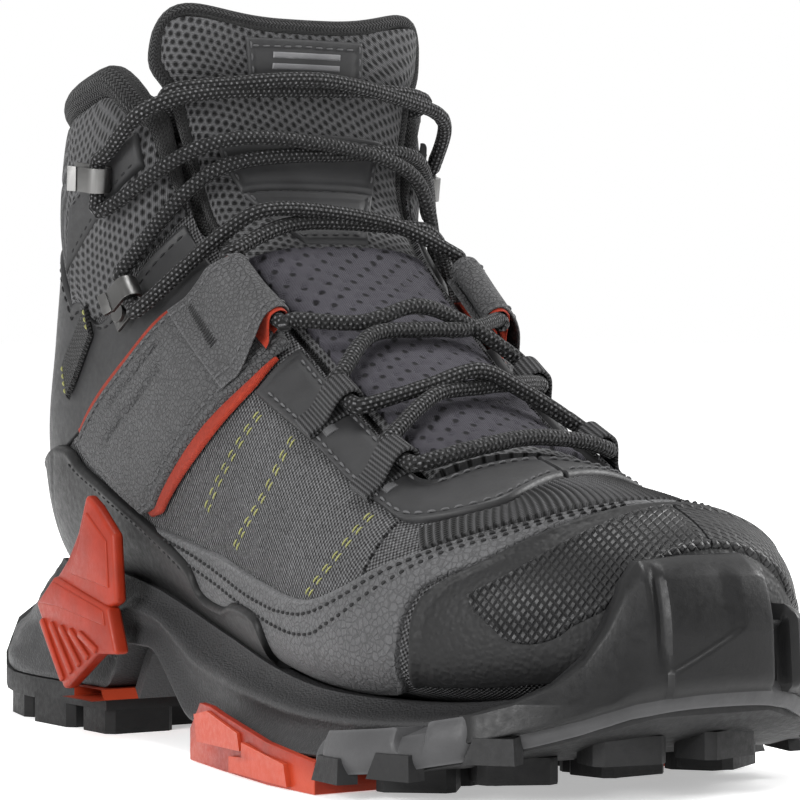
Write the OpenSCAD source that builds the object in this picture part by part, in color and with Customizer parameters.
// Mid-height hiking boot for the wearer's right foot, made as an assembly of separate pieces.
// Frame: toe toward -Y, +Z up, the ground at z = 0, the wearer's right side at +X. Millimetres.
// The upper is one smooth base surface. Every layer of the upper is a slab between two offsets of it.

/* [Lace] */
// Diameter of the round lace
lace_d = 4.4; // [3:0.1:5]

/* [Upper layers] */
// Thickness of the textile shell of the upper
shell_t = 1.6; // [1:0.1:2.5]
// Thickness of the inner lining
lining_t = 0.8; // [0.5:0.1:1.5]
// Thickness of the tongue's foam behind its face
tongue_foam_t = 5; // [2:0.5:8]
// Radius of the padded roll on the collar
rim_r = 4.4; // [3:0.1:6]

/* [Sole] */
// Thickness of the forefoot outsole web
web_t = 3; // [2:0.5:5]

/* [Hidden] */
// Shift that puts the middle of the boot's outline on the origin
seat_x = -1.2;
seat_y = 9.4;
$fn = 48;

// Base surface of the upper: fan sections from the toe to the collar.
// ridge y, ridge z, bottom y, bottom z, lateral half width, medial half width, centre x,
// share of the height that is widest, roundness above it, roundness below it
SECTIONS = [
 [-149, 47, -148, 32, 10, 10, 8, 0.45, 2.0, 2.2],
 [-143, 58, -142, 25, 26, 24, 8, 0.45, 2.1, 2.6],
 [-130, 65, -130, 21, 38, 36, 7, 0.40, 2.2, 2.8],
 [-112, 69, -112, 18, 47, 44, 5, 0.36, 2.2, 2.8],
 [-92, 73, -90, 17, 52, 49, 3, 0.33, 2.1, 2.8],
 [-70, 82, -64, 17, 52, 49, 2, 0.31, 2.1, 2.8],
 [-47, 94, -36, 19, 50, 48, 3, 0.31, 2.3, 2.7],
 [-25, 106, -4, 24, 48, 48, 5, 0.32, 2.5, 2.6],
 [-4, 119, 34, 30, 47, 48, 6, 0.35, 2.9, 2.4],
 [10, 130, 68, 30, 46, 48, 6, 0.40, 3.2, 2.3],
 [18, 139, 102, 32, 45, 48, 6, 0.45, 3.4, 2.2],
 [22, 147, 115, 52, 45, 48, 6, 0.48, 3.4, 2.1],
 [23, 154, 109, 80, 46, 48, 6, 0.50, 3.3, 2.1],
 [23, 161, 102, 108, 47, 48, 6, 0.51, 3.2, 2.1],
 [23, 169, 99, 134, 47, 48, 6, 0.52, 3.2, 2.1],
 [22, 177, 98, 158, 47, 48, 6, 0.52, 3.2, 2.1]];

// Half width of the throat opening, as w along u
THROAT = [[0.30, 0.185], [0.35, 0.166], [0.48, 0.165], [0.60, 0.168], [0.67, 0.20],
 [0.74, 0.21], [0.83, 0.24], [0.91, 0.28], [1.0, 0.33]];

// Catmull-Rom curve through the rows of a table
function curve(p0, p1, p2, p3, f) = 0.5 * ((2 * p1) + (p2 - p0) * f
 + (2 * p0 - 5 * p1 + 4 * p2 - p3) * f * f + (3 * p1 - p0 - 3 * p2 + p3) * f * f * f);
function row(T, t) = let (n = len(T), i = max(0, min(floor(t), n - 2)), p1 = T[i], p2 = T[i + 1],
 p0 = i == 0 ? 2 * p1 - p2 : T[i - 1], p3 = i == n - 2 ? 2 * p2 - p1 : T[i + 2])
 curve(p0, p1, p2, p3, t - i);
function along(T, s) = row(T, s * (len(T) - 1));
function mix(a, b, t) = a + (b - a) * t;
// Puts the whole boot's base centre on the origin
module seat() { translate([seat_x, seat_y, 0]) children(); }

// Point of the upper. u runs from the toe (0) to the collar (1). w runs over the section:
// 0 on the ridge, -1 or 1 under the foot or at the heel, negative on the lateral side.
// d is the distance outward from the face of the overlays.
function section(s, w, d, k) = let (
 wy = s[0] - s[2], wz = s[1] - s[3], h = sqrt(wy * wy + wz * wz),
 a = abs(w) * 180, half = (w < 0 ? s[4] : s[5]) + d,
 p = a <= 90 ? 2 / s[8] : 2 / s[9],
 side = half * pow(abs(sin(a)), p),
 rise = a <= 90 ? ((1 - s[7]) * h + d) * pow(abs(cos(a)), p) : -(s[7] * h + d) * pow(abs(cos(a)), p),
 up = s[7] * h + rise)
 [s[6] + (w < 0 ? -side : side), s[2] + wy / h * up - d * k, s[3] + wz / h * up];
function wrap(w) = w < -1 ? w + 2 : w > 1 ? w - 2 : w;
function upper(u, w, d) = section(along(SECTIONS, u), wrap(w), d, max(0, 1 - u * 10));
function throat(u) = lookup(u, THROAT);

// Closed solid between two grids of points
function volume6(P, F) = [for (f = F) P[f[0]] * cross(P[f[1]], P[f[2]])]
 * [for (f = F) 1];
module closed(P, F) {
 turned = volume6(P, F) > 0;
 polyhedron(points = P, faces = turned ? [for (f = F) [f[2], f[1], f[0]]] : F);
}
function flat(G) = [for (r = G) each r];
module slab(A, B) {
 n = len(A);
 m = len(A[0]);
 k = n * m;
 closed(concat(flat(A), flat(B)), [
  for (i = [0:n - 2], j = [0:m - 2]) let (a = i * m + j) each [
   [a, a + m, a + m + 1], [a, a + m + 1, a + 1],
   [k + a, k + a + m + 1, k + a + m], [k + a, k + a + 1, k + a + m + 1]],
  for (i = [0:n - 2]) let (a = i * m, b = i * m + m - 1) each [
   [a, k + a + m, a + m], [a, k + a, k + a + m],
   [b, b + m, k + b + m], [b, k + b + m, k + b]],
  for (j = [0:m - 2]) let (a = j, b = (n - 1) * m + j) each [
   [a, a + 1, k + a + 1], [a, k + a + 1, k + a],
   [b, k + b + 1, b + 1], [b, k + b, k + b + 1]]]);
}
// Closed bowl: full rings round the toe, with a flat closed end at the first ring
module bowl(A, B) {
 n = len(A);
 m = len(A[0]);
 k = n * m;
 P = concat(flat(A), flat(B), [mix(A[0][0], A[0][m / 2], 0.5)], [mix(B[0][0], B[0][m / 2], 0.5)]);
 closed(P, [
  for (i = [0:n - 2], j = [0:m - 1]) let (a = i * m + j, b = i * m + (j + 1) % m) each [
   [a, a + m, b + m], [a, b + m, b], [k + a, k + b + m, k + a + m], [k + a, k + b, k + b + m]],
  for (j = [0:m - 1]) let (b = (j + 1) % m, e = (n - 1) * m) each [
   [2 * k, j, b], [2 * k + 1, k + b, k + j],
   [e + j, k + e + j, k + e + b], [e + j, k + e + b, e + b]]]);
}
// Round tube along a list of points
function unit(v) = v / norm(v);
function frames(P, i, a) = i == len(P) ? [] : let (
 t = unit(P[min(i + 1, len(P) - 1)] - P[max(i - 1, 0)]), b = unit(a - (a * t) * t))
 concat([[t, b]], frames(P, i + 1, b));
module tube(P, r, sides, start) {
 n = len(P);
 F = frames(P, 0, start);
 V = [for (i = [0:n - 1], j = [0:sides - 1]) let (q = 360 * j / sides, c = cross(F[i][0], F[i][1]))
  P[i] + r * cos(q) * F[i][1] + r * sin(q) * c];
 closed(concat(V, [P[0], P[n - 1]]), [
  for (i = [0:n - 2], j = [0:sides - 1]) let (a = i * sides + j, b = i * sides + (j + 1) % sides)
   each [[a, a + sides, b + sides], [a, b + sides, b]],
  for (j = [0:sides - 1]) let (b = (j + 1) % sides, e = (n - 1) * sides)
   each [[n * sides, j, b], [n * sides + 1, e + b, e + j]]]);
}
// Piece of the upper between two curves of [u, w] points, from offset d0 to d1
module overlay(A, B, n, m, d0, d1) {
 G = [for (i = [0:n]) [for (j = [0:m]) mix(along(A, i / n), along(B, i / n), j / m)]];
 slab([for (r = G) [for (q = r) upper(q[0], q[1], d1)]],
  [for (r = G) [for (q = r) upper(q[0], q[1], d0)]]);
}
function mirrored(T) = [for (q = T) [q[0], -q[1]]];

// Layer offsets, outward
base1 = -1.3;
base0 = base1 - shell_t;
line1 = base0 - 0.3;
line0 = line1 - lining_t;

// Upper edge of the collar's layers: the padded roll needs the same room all the way round
function collar_top(w) = 1 - (rim_r + 0.5) / mix(120, 360, (1 - cos(180 * min(abs(w), 2 - abs(w)))) / 2);
// Lower edge of the throat's side pieces, as u for a share f of the height
function climb(u0, f, w) = mix(u0, collar_top(w), f);

// ---- textile upper and lining
module quarter_shell(s) {
 G = [for (i = [0:24]) [for (j = [0:12]) let (f = i / 24, t = throat(climb(0.286, f, 0.33)),
   w = mix(t, 0.998, j / 12)) [climb(0.286, f, w), s * w]]];
 slab([for (r = G) [for (q = r) upper(q[0], q[1], base1)]],
  [for (r = G) [for (q = r) upper(q[0], q[1], base0)]]);
}
module quarter_shell_lateral() { seat() color("#55565a") quarter_shell(-1); }
module quarter_shell_medial() { seat() color("#55565a") quarter_shell(1); }
module toe_shell() {
 seat() color("#55565a") bowl([for (i = [0:10]) [for (j = [0:27]) upper(0.283 * i / 10, -1 + j / 14, base1)]],
  [for (i = [0:10]) [for (j = [0:27]) upper(0.283 * i / 10, -1 + j / 14, base0)]]);
}
module lining() {
 G = [for (i = [0:18]) [for (j = [0:22]) let (f = i / 18, t = throat(climb(0.30, f, 0.33)),
   w = mix(t, 2 - t, j / 22)) [climb(0.30, f, w), w]]];
 seat() color("#2c2c30") slab([for (r = G) [for (q = r) upper(q[0], q[1], line1)]],
  [for (r = G) [for (q = r) upper(q[0], q[1], line0)]]);
}

// ---- collar
COLLAR_LOW = [[0.70, 0.215], [0.70, 0.32], [0.72, 0.46], [0.80, 0.515], [0.89, 0.635], [0.935, 0.78]];
module collar_mesh(s) {
 n = 14;
 m = 6;
 function pt(i, j, d) = let (q = along(COLLAR_LOW, i / n),
  w = mix(q[1], mix(throat(0.974), 0.82, i / n), j / m), u = mix(q[0], collar_top(w), j / m))
  upper(u, s * w, d * sin(mix(25, 155, i / n)) - 1);
 slab([for (i = [0:n]) [for (j = [0:m]) pt(i, j, 1.4)]],
  [for (i = [0:n]) [for (j = [0:m]) pt(i, j, 0)]]);
}
module collar_mesh_lateral() { seat() color("#6a6b70") collar_mesh(-1); }
module collar_mesh_medial() { seat() color("#6a6b70") collar_mesh(1); }
module collar_padding() {
 G = [for (i = [0:6]) [for (j = [0:18]) let (t = throat(mix(0.74, 0.96, i / 6)) + 0.03,
   w = mix(t, 2 - t, j / 18)) [mix(0.74, collar_top(w) - 0.008, i / 6), w]]];
 seat() color("#2b2b30") slab([for (r = G) [for (q = r) upper(q[0], q[1], line0 - 0.2)]],
  [for (i = [0:6]) [for (j = [0:18]) let (q = G[i][j])
   upper(q[0], q[1], line0 - 0.8 - 3.4 * sin(mix(10, 170, i / 6)) * sin(mix(12, 168, j / 18)))]]);
}
module collar_rim() {
 P = [for (i = [0:36]) upper(1.0, mix(throat(1) + 0.01, 1.99 - throat(1), i / 36), -3.6)];
 seat() color("#2b2b30") tube(P, rim_r, 10, [0, 0, 1]);
}

// ---- overlays of the quarters
FILM_TOP = [[0.685, 0.225], [0.688, 0.31], [0.705, 0.45], [0.785, 0.502], [0.872, 0.625], [0.920, 0.77],
 [0.965, 0.86], [0.982, 0.985]];
FILM_LOW = [[0.575, 0.20], [0.60, 0.32], [0.633, 0.43], [0.672, 0.52], [0.70, 0.64], [0.735, 0.81], [0.75, 0.985]];
module ankle_overlay_lateral() { seat() color("#3b3b3e") overlay(mirrored(FILM_TOP), mirrored(FILM_LOW), 16, 5, -1.1, -0.3); }
module ankle_overlay_medial() { seat() color("#3b3b3e") overlay(FILM_TOP, FILM_LOW, 16, 5, -1.1, -0.3); }
PATCH_A = [[0.890, 0.33], [0.888, 0.43], [0.885, 0.52]];
PATCH_B = [[0.828, 0.31], [0.822, 0.43], [0.820, 0.52]];
module hook_patch_lateral() { seat() color("#3b3b3e") overlay(mirrored(PATCH_A), mirrored(PATCH_B), 5, 3, 0.5, 1.2); }
module hook_patch_medial() { seat() color("#3b3b3e") overlay(PATCH_A, PATCH_B, 5, 3, 0.5, 1.2); }
STRAP_TOP = [[0.562, 0.180], [0.572, 0.24], [0.594, 0.32], [0.624, 0.43], [0.662, 0.512]];
STRAP_LOW = [[0.478, 0.180], [0.484, 0.29], [0.503, 0.40], [0.522, 0.48], [0.540, 0.525]];
TRIM_TOP = [[0.545, 0.215], [0.566, 0.25], [0.602, 0.32], [0.634, 0.43], [0.668, 0.505]];
TRIM_LOW = [[0.478, 0.215], [0.478, 0.29], [0.494, 0.40], [0.514, 0.48], [0.532, 0.520]];
module strap(s) {
 T = s < 0 ? mirrored(STRAP_TOP) : STRAP_TOP;
 L = s < 0 ? mirrored(STRAP_LOW) : STRAP_LOW;
 overlay(T, L, 12, 5, 0.75, 2.1);
}
module strap_lining(s) {
 T = s < 0 ? mirrored(TRIM_TOP) : TRIM_TOP;
 L = s < 0 ? mirrored(TRIM_LOW) : TRIM_LOW;
 overlay(T, L, 12, 5, 0.0, 0.6);
}
module strap_lateral() { seat() color("#5b5c60") strap(-1); }
module strap_medial() { seat() color("#5b5c60") strap(1); }
module strap_lining_lateral() { seat() color("#c8502f") strap_lining(-1); }
module strap_lining_medial() { seat() color("#c8502f") strap_lining(1); }

STAY_IN = [[0.288, 0.004], [0.288, 0.09], [0.296, 0.176], [0.352, 0.172], [0.413, 0.172], [0.474, 0.172]];
STAY_OUT_L = [[0.252, 0.004], [0.226, 0.157], [0.268, 0.258], [0.315, 0.260], [0.395, 0.262], [0.474, 0.286]];
STAY_OUT_M = [[0.252, 0.004], [0.268, 0.10], [0.290, 0.235], [0.325, 0.255], [0.395, 0.262], [0.474, 0.286]];
module eyestay_lateral() { seat() color("#3f3f42") overlay(mirrored(STAY_IN), mirrored(STAY_OUT_L), 18, 3, -1.1, 0.3); }
module eyestay_medial() { seat() color("#3f3f42") overlay(STAY_IN, STAY_OUT_M, 18, 3, -1.1, 0.3); }

RIB_REAR = [[0.262, -0.270], [0.222, -0.165], [0.232, -0.09], [0.247, -0.01], [0.260, 0.06], [0.270, 0.13], [0.285, 0.24]];
RIB_FRONT = [[0.245, -0.315], [0.205, -0.235], [0.180, -0.15], [0.168, 0.0], [0.178, 0.12], [0.200, 0.21], [0.245, 0.315]];
module vamp_ribbed_strip() { seat() color("#48494c") overlay(RIB_REAR, RIB_FRONT, 16, 3, -1.1, -0.5); }

GUARD_TOP = [[0.530, 0.54], [0.478, 0.503], [0.40, 0.487], [0.338, 0.467], [0.298, 0.42], [0.262, 0.350],
 [0.220, 0.285], [0.183, 0.21], [0.164, 0.11], [0.160, 0.003]];
GUARD_LOW = [[0.545, 0.70], [0.478, 0.765], [0.40, 0.755], [0.338, 0.75], [0.285, 0.75], [0.248, 0.68],
 [0.229, 0.42], [0.182, 0.318], [0.154, 0.16], [0.148, 0.003]];
module mudguard_lateral() { seat() color("#5c5d61") overlay(mirrored(GUARD_TOP), mirrored(GUARD_LOW), 22, 5, -1.1, 0); }
module mudguard_medial() { seat() color("#5c5d61") overlay(GUARD_TOP, GUARD_LOW, 22, 5, -1.1, 0); }

CAP_EDGE = [[0.236, -0.66], [0.228, -0.54], [0.221, -0.42], [0.176, -0.31], [0.148, -0.16], [0.143, 0.0],
 [0.148, 0.16], [0.176, 0.31], [0.221, 0.42], [0.228, 0.54], [0.236, 0.66]];
CAP_FRONT = [[0.10, -0.70], [0.05, -0.60], [0.03, -0.48], [0.02, -0.33], [0.01, -0.16], [0.01, 0.0],
 [0.01, 0.16], [0.02, 0.33], [0.03, 0.48], [0.05, 0.60], [0.10, 0.70]];
module toe_cap() { seat() color("#28282a") overlay(CAP_EDGE, CAP_FRONT, 26, 7, -1.1, 0.6); }
INSET_A = [[0.182, -0.415], [0.152, -0.353], [0.134, -0.277], [0.123, -0.18], [0.123, -0.07], [0.128, -0.003]];
INSET_B = [[0.172, -0.455], [0.142, -0.515], [0.107, -0.510], [0.066, -0.42], [0.054, -0.25], [0.052, -0.003]];
module toe_inset_lateral() { seat() color("#1f1f21") overlay(INSET_A, INSET_B, 12, 6, 0.8, 1.6); }
module toe_inset_medial() { seat() color("#1f1f21") overlay(mirrored(INSET_A), mirrored(INSET_B), 12, 6, 0.8, 1.6); }

// ---- heel
// Heel counter: the half of its upper and lower edges from its front on one side to the middle of the heel
COUNTER_TOP = [[0.395, 0.70], [0.388, 0.60], [0.396, 0.537], [0.427, 0.547], [0.450, 0.60], [0.475, 0.615],
 [0.487, 0.556], [0.522, 0.542], [0.583, 0.533], [0.640, 0.533], [0.672, 0.540], [0.705, 0.60], [0.745, 0.75],
 [0.775, 0.90], [0.785, 1.0]];
COUNTER_LOW = [[0.392, 0.728], [0.398, 0.728], [0.410, 0.730], [0.430, 0.732], [0.452, 0.734], [0.473, 0.736],
 [0.490, 0.736], [0.522, 0.722], [0.570, 0.708], [0.612, 0.722], [0.645, 0.742], [0.680, 0.775], [0.708, 0.83],
 [0.729, 0.92], [0.737, 1.0]];
// The whole edge, from the lateral side round the heel to the medial side
function round_heel(T) = concat(mirrored(T), [for (i = [len(T) - 2:-1:0]) [T[i][0], T[i][1] - 2]]);
module heel_counter() {
 seat() color("#242426") overlay(round_heel(COUNTER_TOP), round_heel(COUNTER_LOW), 56, 4, 0.1, 1.4);
}
STRIP_A = [[0.80, 0.965], [0.87, 0.965], [0.982, 0.965]];
STRIP_B = [[0.80, 1.035], [0.87, 1.035], [0.982, 1.035]];
module heel_strip() { seat() color("#2c2c30") overlay(STRIP_A, STRIP_B, 6, 3, 0.6, 1.5); }
module heel_pull_loop() {
 seat() color("#2c2c30") translate([12, 101.5, 146]) rotate([0, -90, 0]) linear_extrude(12) difference() {
  union() {
   translate([-12, 0]) square([24, 2.6]);
   hull_loop(4.6);
  }
  hull_loop(3.5);
 }
}
module hull_loop(r) {
 translate([0, 2 + 4.6]) union() {
  translate([-7, -r]) square([14, 2 * r]);
  translate([-7, 0]) circle(r);
  translate([7, 0]) circle(r);
 }
}
TAG_A = [[0.748, -0.475], [0.708, -0.470]];
TAG_B = [[0.736, -0.512], [0.700, -0.508]];
module side_tag() { seat() color("#1d1d1f") overlay(TAG_A, TAG_B, 2, 2, 0.7, 1.4); }

// ---- gussets behind the tongue's edges
module gusset(s) {
 G = [for (i = [0:14]) let (u = mix(0.34, 0.86, i / 14), t = throat(u)) [for (j = [0:3])
  [u, s * mix(t - 0.055, t + 0.02, j / 3)]]];
 slab([for (r = G) [for (q = r) upper(q[0], q[1], -4.9)]],
  [for (r = G) [for (q = r) upper(q[0], q[1], -5.4)]]);
}
module gusset_lateral() { seat() color("#2b2b30") gusset(-1); }
module gusset_medial() { seat() color("#2b2b30") gusset(1); }

// ---- lace holders. Each sits on the lace's centre point at [u, w], at height d above the overlays.
// The frame is: x away from the throat, y outward, z along the edge toward the collar.
function normal(u, w, d) = let (e = 0.002, s = upper(u + e, w, d) - upper(u - e, w, d),
 t = upper(u, w + e, d) - upper(u, w - e, d)) unit(cross(t, s));
function edge(u, w, d) = unit(upper(u + 0.01, w, d) - upper(u - 0.01, w, d));
module placed(u, w, d, turn = 0) {
 c = upper(u, w, d);
 z = edge(u, w, d);
 y0 = normal(u, w, d);
 y = unit(y0 - (y0 * z) * z);
 x = cross(y, z) * (w < 0 ? 1 : -1);
 zz = w < 0 ? z : -z;
 multmatrix([[x[0], y[0], zz[0], c[0]], [x[1], y[1], zz[1], c[1]], [x[2], y[2], zz[2], c[2]], [0, 0, 0, 1]])
  children();
}
loop_in = lace_d / 2 + 0.25;
// Height of the lace's centre above the overlays at each kind of holder
loop_d = 3.9;
strap_d = 5.9;
hook_high = 4.7;
hook_low = 4.6;
module band_loop(u, w, d, len, tail) {
 placed(u, w, d) translate([0, 0, -len / 2]) linear_extrude(len) difference() {
  union() {
   circle(loop_in + 1);
   translate([0, -loop_in - 1]) square([tail, 2.2]);
  }
  circle(loop_in);
 }
}
LOOP_L1 = [0.395, -0.172];
LOOP_L2 = [0.318, -0.182];
LOOP_M2 = [0.418, 0.172];
LOOP_M3 = [0.332, 0.180];
LOOP_SL = [0.520, -0.178];
LOOP_SM = [0.520, 0.178];
module webbing_loop_lateral_1() { seat() color("#3a3a3d") band_loop(LOOP_L1[0], LOOP_L1[1], loop_d, 8, 13); }
module webbing_loop_lateral_2() { seat() color("#3a3a3d") band_loop(LOOP_L2[0], LOOP_L2[1], loop_d, 8, 13); }
module webbing_loop_medial_2() { seat() color("#3a3a3d") band_loop(LOOP_M2[0], LOOP_M2[1], loop_d, 8, 13); }
module webbing_loop_medial_3() { seat() color("#3a3a3d") band_loop(LOOP_M3[0], LOOP_M3[1], loop_d, 8, 13); }
module strap_loop_lateral() { seat() color("#c8502f") band_loop(LOOP_SL[0], LOOP_SL[1], strap_d, 24, 9); }
module strap_loop_medial() { seat() color("#3a3a3d") band_loop(LOOP_SM[0], LOOP_SM[1], strap_d, 24, 9); }

HOOK_UL = [0.852, -0.420];
HOOK_LL = [0.655, -0.368];
HOOK_UM = [0.852, 0.420];
HOOK_LM = [0.655, 0.368];
module hook(u, w, d) {
 r = lace_d / 2 + 0.3;
 placed(u, w, d) translate([0, 0, -3.2]) {
  linear_extrude(6.4) union() {
   difference() {
    circle(r + 0.9);
    circle(r);
    translate([0, -9]) square([18, 18]);
   }
   translate([0, r]) square([4.6, 0.9]);
   translate([0, -r - 0.9]) square([11, 0.9]);
   translate([4.6, r + 0.45]) rotate(28) square([2.4, 0.9]);
  }
  translate([7.6, -r - 0.9, 3.2]) rotate([-90, 0, 0]) cylinder(h = 2.2, r = 2.4);
 }
}
module hook_upper_lateral() { seat() color("#9a9a9c") hook(HOOK_UL[0], HOOK_UL[1], hook_high); }
module hook_lower_lateral() { seat() color("#9a9a9c") hook(HOOK_LL[0], HOOK_LL[1], hook_low); }
module hook_upper_medial() { seat() color("#9a9a9c") hook(HOOK_UM[0], HOOK_UM[1], hook_high); }
module hook_lower_medial() { seat() color("#9a9a9c") hook(HOOK_LM[0], HOOK_LM[1], hook_low); }

// ---- tongue, kept inside the throat so that it can tip forward
function tongue_w(u) = lookup(u, [[0.305, 0.165], [0.35, 0.150], [0.48, 0.148], [0.60, 0.150],
 [0.67, 0.165], [0.74, 0.175], [0.83, 0.195], [0.91, 0.224], [0.935, 0.232], [0.965, 0.262], [1.0, 0.300],
 [1.08, 0.322]]);
function tongue_top(j) = 1.062 - 0.012 * cos(540 * (j - 0.5)) - 0.05 * pow(abs(2 * j - 1), 8);
module tongue_grid(n, m, u0, inset, d0, d1, top) {
 G = [for (i = [0:n]) [for (j = [0:m]) let (u = mix(u0, top > 0 ? top : tongue_top(j / m), i / n),
  t = tongue_w(u) - inset) [u, mix(-t, t, j / m)]]];
 slab([for (r = G) [for (q = r) upper(q[0], q[1], d1)]], [for (r = G) [for (q = r) upper(q[0], q[1], d0)]]);
}
module tongue_shell() { seat() color("#66676c") tongue_grid(26, 8, 0.305, 0, -4.2, -1.6, 0); }
module tongue_padding() { seat() color("#2b2b30") tongue_grid(16, 4, 0.36, 0.055, -4.6 - tongue_foam_t, -4.4, 1.03); }
module tongue_rim() {
 P = [for (i = [0:30]) let (j = mix(0, 1, i / 30), u = tongue_top(j) + 0.012, t = tongue_w(u)) upper(u, mix(-t, t, j), -2.9)];
 seat() color("#2b2b30") tube(P, 2, 8, [0, 0, 1]);
}
module tongue_foam() { seat() color("#38363c") tongue_grid(14, 6, 0.315, 0.012, -1.4, -0.4, 0.585); }
BADGE_T = [[1.036, -0.076], [1.036, 0.064]];
BADGE_B = [[0.922, -0.062], [0.922, 0.070]];
module tongue_badge() { seat() color("#2e2e31") overlay(BADGE_T, BADGE_B, 4, 4, -1.4, -0.5); }
MID_T = [[0.833, -0.137], [0.831, 0.117]];
MID_B = [[0.697, -0.088], [0.697, 0.072]];
module tongue_panel_mid() { seat() color("#3c3c40") overlay(MID_T, MID_B, 5, 4, -1.4, -0.5); }
LOW_T = [[0.692, -0.086], [0.692, 0.070]];
LOW_B = [[0.592, -0.024], [0.592, 0.028]];
module tongue_panel_low() { seat() color("#3c3c40") overlay(LOW_T, LOW_B, 4, 3, -1.4, -0.5); }

// ---- lace, one cord through every holder in order
function hold(h, d, x, z) = let (c = upper(h[0], h[1], d), e = edge(h[0], h[1], d),
 y0 = normal(h[0], h[1], d), y = unit(y0 - (y0 * e) * e), a = cross(y, e) * (h[1] < 0 ? 1 : -1))
 c + x * a + z * e;
// The turn through one holder. g is half its length, s is 1 going toward the collar, -1 toward the toe
function turn(h, d, g, s) = [hold(h, d, -3.4, -s * (g + 4.0)), hold(h, d, 0, -s * (g + 1.3)),
 hold(h, d, 0, s * (g + 1.3)), hold(h, d, -3.4, s * (g + 4.0))];
// The run from one side to the other, over or under the other run in the middle
function run(u0, w0, u1, w1, high) = [for (f = [0.28, 0.5, 0.72])
 upper(mix(u0, u1, f), mix(w0, w1, f), f == 0.5 ? (high ? 8.0 : 3.4) : (high ? 4.9 : 4.0))];
LACE = concat(
 [upper(0.85, -0.262, -12.5), upper(0.905, -0.262, -10), upper(0.924, -0.262, -4), upper(0.927, -0.255, 0.6),
  upper(0.927, -0.215, 3.2)],
 [upper(0.922, -0.11, 3.4), upper(0.915, 0, 7.4), upper(0.905, 0.14, 4.0), upper(0.896, 0.28, 6.4)],
 turn(HOOK_UM, hook_high, 3.2, -1), run(0.815, 0.36, 0.69, -0.32, false),
 turn(HOOK_LL, hook_low, 3.2, -1), run(0.61, -0.28, 0.59, 0.16, true),
 turn(LOOP_SM, strap_d, 12, -1), run(0.455, 0.16, 0.435, -0.16, false),
 turn(LOOP_L1, loop_d, 4, -1), run(0.37, -0.15, 0.36, 0.16, true),
 turn(LOOP_M3, loop_d, 4, -1), [upper(0.303, 0.10, 3.4), upper(0.296, 0, 3.4), upper(0.292, -0.10, 3.4)],
 turn(LOOP_L2, loop_d, 4, 1), run(0.35, -0.15, 0.385, 0.16, false),
 turn(LOOP_M2, loop_d, 4, 1), run(0.45, 0.16, 0.455, -0.16, true),
 turn(LOOP_SL, strap_d, 12, 1), run(0.59, -0.16, 0.61, 0.28, false),
 turn(HOOK_LM, hook_low, 3.2, 1), run(0.69, 0.32, 0.815, -0.36, true),
 turn(HOOK_UL, hook_high, 3.2, 1),
 [upper(0.896, -0.28, 6.4), upper(0.905, -0.14, 4.0), upper(0.912, 0, 2.8), upper(0.922, 0.11, 3.0)],
 [upper(0.927, 0.215, 3.2), upper(0.927, 0.255, 0.6), upper(0.924, 0.262, -4), upper(0.905, 0.262, -10),
  upper(0.85, 0.262, -12.5)]);
module lace() { seat() color("#1c1c1e") tube(LACE, lace_d / 2, 8, [0, 0, 1]); }
module lace_tip(s) {
 a = upper(0.846, s * 0.262, -12.5);
 b = upper(0.80, s * 0.262, -12.8);
 tube([mix(a, b, 0.06), mix(a, b, 0.5), b], lace_d / 2 - 0.3, 8, [0, 0, 1]);
}
module lace_tip_lateral() { seat() color("#1c1c1e") lace_tip(-1); }
module lace_tip_medial() { seat() color("#1c1c1e") lace_tip(1); }

// ---- inside the foot space
module under_foot(u0, u1, w0, d0, d1) {
 G = [for (i = [0:20]) [for (j = [0:8]) [mix(u0, u1, i / 20), mix(w0, 2 - w0, j / 8)]]];
 slab([for (r = G) [for (q = r) upper(q[0], q[1], d1)]], [for (r = G) [for (q = r) upper(q[0], q[1], d0)]]);
}
module lasting_board() { seat() color("#8a7f6a") under_foot(0.045, 0.675, 0.76, -5.6, -4.5); }
module footbed() { seat() color("#3a3a40") under_foot(0.050, 0.670, 0.775, -10.2, -6.5); }

// ---- sole
// Side of the sole at its widest, lateral and medial, as [y, x]
SOLE_L = [[-151, -4], [-149.5, -15], [-145, -28], [-138, -37], [-128, -45], [-112, -53], [-90, -56.5], [-65, -56],
 [-35, -51], [-5, -45], [25, -42], [60, -42], [90, -42], [110, -39], [122, -33], [131, -25], [137, -13], [139, -4]];
SOLE_M = [[-151, 14], [-149.5, 26], [-145, 35], [-138, 42], [-128, 48], [-112, 53], [-90, 54], [-65, 51],
 [-35, 46], [-5, 42], [25, 41], [60, 42], [90, 42], [110, 38.5], [122, 33], [131, 25], [137, 14], [139, 4]];
// Underside of the midsole, as [y, z]
UNDER = [[-152, 26], [-148, 21.5], [-142, 18.5], [-130, 14.5], [-112, 10.5], [-92, 8.2], [-70, 7.5], [-8, 7.5],
 [2, 9], [12, 17], [22, 24.5], [38, 24.5], [45.5, 12.3], [104, 12.3], [116, 14], [127, 20], [136, 30]];
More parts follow.
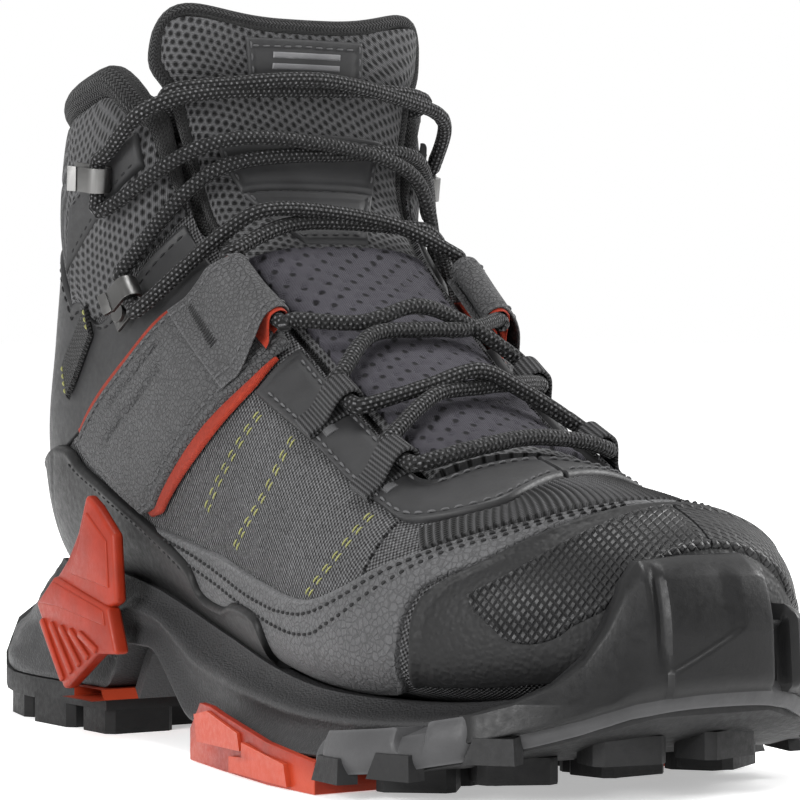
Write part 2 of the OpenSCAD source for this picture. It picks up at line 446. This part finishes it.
// Upper edge of the midsole, as [u, w]
FEATHER = [[0.02, 0.66], [0.10, 0.75], [0.223, 0.74], [0.312, 0.73], [0.39, 0.735], [0.49, 0.75], [0.568, 0.715],
 [0.62, 0.735], [0.665, 0.76], [0.685, 0.82], [0.70, 0.88], [0.716, 0.94]];
function side_x(y, s) = lookup(y, s < 0 ? SOLE_L : SOLE_M);
function under(y) = lookup(y, UNDER);
module midsole() {
 n = 40;
 m = 12;
 U = [for (i = [0:n]) mix(0.02, 0.716, i / n)];
 seat() color("#2b2b2d") slab(
  [for (u = U) let (f = lookup(u, FEATHER), low = upper(u, 1, 0), yb = low[1] + max(0, u - 0.66) * 380)
   [for (j = [0:m]) let (k = j / m, s = k < 0.5 ? -1 : 1, q = k < 0.5 ? 2 * k : 2 - 2 * k,
     top = upper(u, s * f, 0.5), t = top + [s * 3.2, 0, 0],
     ye = mix(top[1], yb, 0.6), e = [side_x(ye, s) - s * 1.2, ye, under(ye)])
    q <= 0.5 ? mix(t, e, q * 2) + [s * 2.2 * sin(360 * q), 0, 0]
     : mix(e, [low[0], yb, under(yb)], q * 2 - 1)]],
  [for (u = U) let (f = lookup(u, FEATHER)) [for (j = [0:m]) let (k = j / m, q = k < 0.5 ? 2 * k : 2 - 2 * k)
    upper(u, (k < 0.5 ? -1 : 1) * mix(f, 1, q), 0.5)]]);
}
// Half width of the plate under the arch and the heel
shank_half = 33;
module chassis() {
 seat() color("#c8502f") union() {
  translate([-shank_half, 0, 0]) yz(2 * shank_half) polygon([[20, 24.2], [38.2, 24.2], [45.4, 12], [104, 12],
   [104, 9.4], [43, 9.4], [36.2, 21.4], [20, 21.4]]);
  translate([-43.2, 0, 0]) yz(86.4) polygon([[45.4, 12], [60, 12], [60, 9.4], [43.6, 9.4]]);
  wing(-47);
  // leans outward with the side of the foot
  multmatrix([[1, 0, 0.27, -2.54], [0, 1, 0, 0], [0, 0, 1, 0], [0, 0, 0, 1]]) wing(43.2);
 }
}
module yz(t) { multmatrix([[0, 0, 1, 0], [1, 0, 0, 0], [0, 1, 0, 0], [0, 0, 0, 1]]) linear_extrude(t) children(); }
module wing(x) {
 translate([x, 0, 0]) yz(3.8) polygon([[47, 63], [42, 62], [30, 56], [27, 40], [32, 35], [28, 29], [38, 24.2],
  [43, 9.4], [60, 9.4], [72, 22], [77, 32], [66, 42], [55, 53]]);
}
module plate(y0, y1, n, inset_l, inset_m, top, t) {
 Y = [for (i = [0:n]) mix(y0, y1, i / n)];
 slab([for (y = Y) [for (j = [0:4]) [mix(max(side_x(y, -1) + 1, inset_l), min(side_x(y, 1) - 1, inset_m), j / 4),
   y, under(y) - top]]],
  [for (y = Y) [for (j = [0:4]) [mix(max(side_x(y, -1) + 1, inset_l), min(side_x(y, 1) - 1, inset_m), j / 4),
   y, under(y) - top - t]]]);
}
// One lug: a block with chamfered plan corners, tapered by two steps
module lug(x, y, a, b, z0, z1, turned = 0) {
 translate([x, y, z0]) rotate(turned) linear_extrude(z1 - z0)
  polygon([[-a, -b + 2], [-a + 2, -b], [a - 2, -b], [a, -b + 2], [a, b - 2], [a - 2, b], [-a + 2, b], [-a, b - 2]]);
}
module outsole_heel() {
 seat() color("#1e1e20") union() {
  difference() {
   plate(46.5, 137, 16, -60, 60, 0.3, 5.6);
   translate([-shank_half - 0.3, 40, 9.2]) cube([2 * shank_half + 0.6, 64.3, 9]);
   translate([-50, 40, 9.2]) cube([100, 20.3, 9]);
  }
  for (s = [-1, 1]) {
   lug(s * 28, 103, 9, 9, 0, 8, s * 14);
   lug(s * 31, 78, 10, 11, 0, 8);
   lug(s * 30, 55, 10, 8, 0, 8);
   lug(s * 9, 115, 7, 7, 0.6, 8.5);
   lug(s * 10, 90, 7, 8, 0, 8);
   lug(s * 10, 66, 7, 8, 0, 8);
  }
 }
}
module outsole_forefoot() {
 seat() color("#1e1e20") union() {
  plate(-150, -89.5, 14, -70, 70, 0.3, web_t);
  plate(-90, -3, 12, -37, 37, 0.3, web_t);
  for (y = [-22, -42, -62, -82], x = [-24, 0, 24])
   lug(x, y, 9.5, 7, 0, 5.5, x == 0 ? 45 : x);
  for (x = [-40, -14, 14, 40])
   lug(x, -100, 9, 7, 1.6, 8, x);
  for (x = [-27, 2, 30])
   lug(x, -119, 9, 7, 4.4, 10.5, x);
  for (x = [-10, 16])
   lug(x, -136, 9, 6, 9.2, 15.5, x);
 }
}
// Edge of the forefoot outsole round the toe, as [x, y]
TOE_LINE = [[-57, -88], [-57, -100], [-53, -115], [-43.5, -131], [-29, -144.5], [-12, -150.6], [6, -152], [24, -150.4],
 [38, -143], [48, -129.5], [54, -114], [55.5, -100], [55, -88]];
module outsole_rim() {
 n = 36;
 F = [for (i = [0:n]) let (p = along(TOE_LINE, i / n), a = along(TOE_LINE, min(1, i / n + 0.01)),
  b = along(TOE_LINE, max(0, i / n - 0.01)), t = unit(a - b)) [p, [t[1], -t[0]]]];
 seat() color("#39393b") slab(
  [for (f = F) let (z = under(f[0][1])) [for (j = [0:2]) [f[0][0] - 3 * f[1][0] * -1, f[0][1] + 3 * f[1][1], z - 3 + j * 4.6]]],
  [for (f = F) let (z = under(f[0][1])) [for (j = [0:2]) [f[0][0] + 0.5 * f[1][0], f[0][1] + 0.5 * f[1][1], z - 3 + j * 4.6]]]);
}
// Lower edge of the toe bumper, just above the outsole's rim
bumper_foot = 32.6;
module toe_bumper() {
 function face(x, z, o) = [x, -152.6 + pow((x - 6) / 34, 2) * 10 + pow(max(0, z - 38) / 16, 2) * 4.2 - o, z];
 seat() color("#39393b") slab(
  [for (i = [0:12]) [for (j = [0:7]) let (z = mix(bumper_foot, 55, j / 7), h = mix(29, 21, j / 7)) face(6 + mix(-h, h, i / 12), z,
    mix(3.2, 1.6, j / 7))]],
  [for (i = [0:12]) [for (j = [0:7]) let (z = mix(bumper_foot, 55, j / 7), h = mix(29, 21, j / 7)) face(6 + mix(-h, h, i / 12), z, 0)]]);
}
// Coloured pod at the side of the forefoot: an L in section, swept along the side of the sole
module pod(s) {
 Y = [for (i = [0:10]) mix(-13, -87, i / 10)];
 R = [for (y = Y) let (x = side_x(y, s), t = lookup(y, [[-87, 7.6], [-70, 9.5], [-48, 12], [-22, 15.5], [-16, 13], [-13, 8]]))
  [[x + s * 3.2, y, 0.2], [x + s * 3.2, y, t], [x + s * 1.4, y, t], [x + s * 1.4, y, 7.1], [s * 37.6, y, 7.1], [s * 37.6, y, 0.2]]];
 n = len(R);
 closed(flat(R), concat(
  [for (i = [0:n - 2], j = [0:5]) let (a = i * 6 + j, b = i * 6 + (j + 1) % 6) each [[a, a + 6, b + 6], [a, b + 6, b]]],
  [for (j = [4, 5, 0, 1]) [3, j, (j + 1) % 6]],
  [for (j = [4, 5, 0, 1]) let (e = (n - 1) * 6) [e + 3, e + (j + 1) % 6, e + j]]));
}
module forefoot_pod_lateral() { seat() color("#c8502f") pod(-1); }
module forefoot_pod_medial() { seat() color("#c8502f") pod(1); }

lining();
toe_shell();
quarter_shell_lateral();
quarter_shell_medial();
collar_mesh_lateral();
collar_mesh_medial();
collar_padding();
collar_rim();
ankle_overlay_lateral();
ankle_overlay_medial();
hook_patch_lateral();
hook_patch_medial();
strap_lining_lateral();
strap_lining_medial();
strap_lateral();
strap_medial();
strap_loop_lateral();
strap_loop_medial();
eyestay_lateral();
eyestay_medial();
vamp_ribbed_strip();
mudguard_lateral();
mudguard_medial();
toe_cap();
toe_inset_lateral();
toe_inset_medial();
heel_counter();
heel_strip();
heel_pull_loop();
side_tag();
gusset_lateral();
gusset_medial();
webbing_loop_lateral_1();
webbing_loop_lateral_2();
webbing_loop_medial_2();
webbing_loop_medial_3();
hook_upper_lateral();
hook_lower_lateral();
hook_upper_medial();
hook_lower_medial();
tongue_shell();
tongue_padding();
tongue_rim();
tongue_badge();
tongue_panel_mid();
tongue_panel_low();
tongue_foam();
lace();
lace_tip_lateral();
lace_tip_medial();
lasting_board();
footbed();
midsole();
chassis();
outsole_heel();
outsole_forefoot();
outsole_rim();
toe_bumper();
forefoot_pod_lateral();
forefoot_pod_medial();
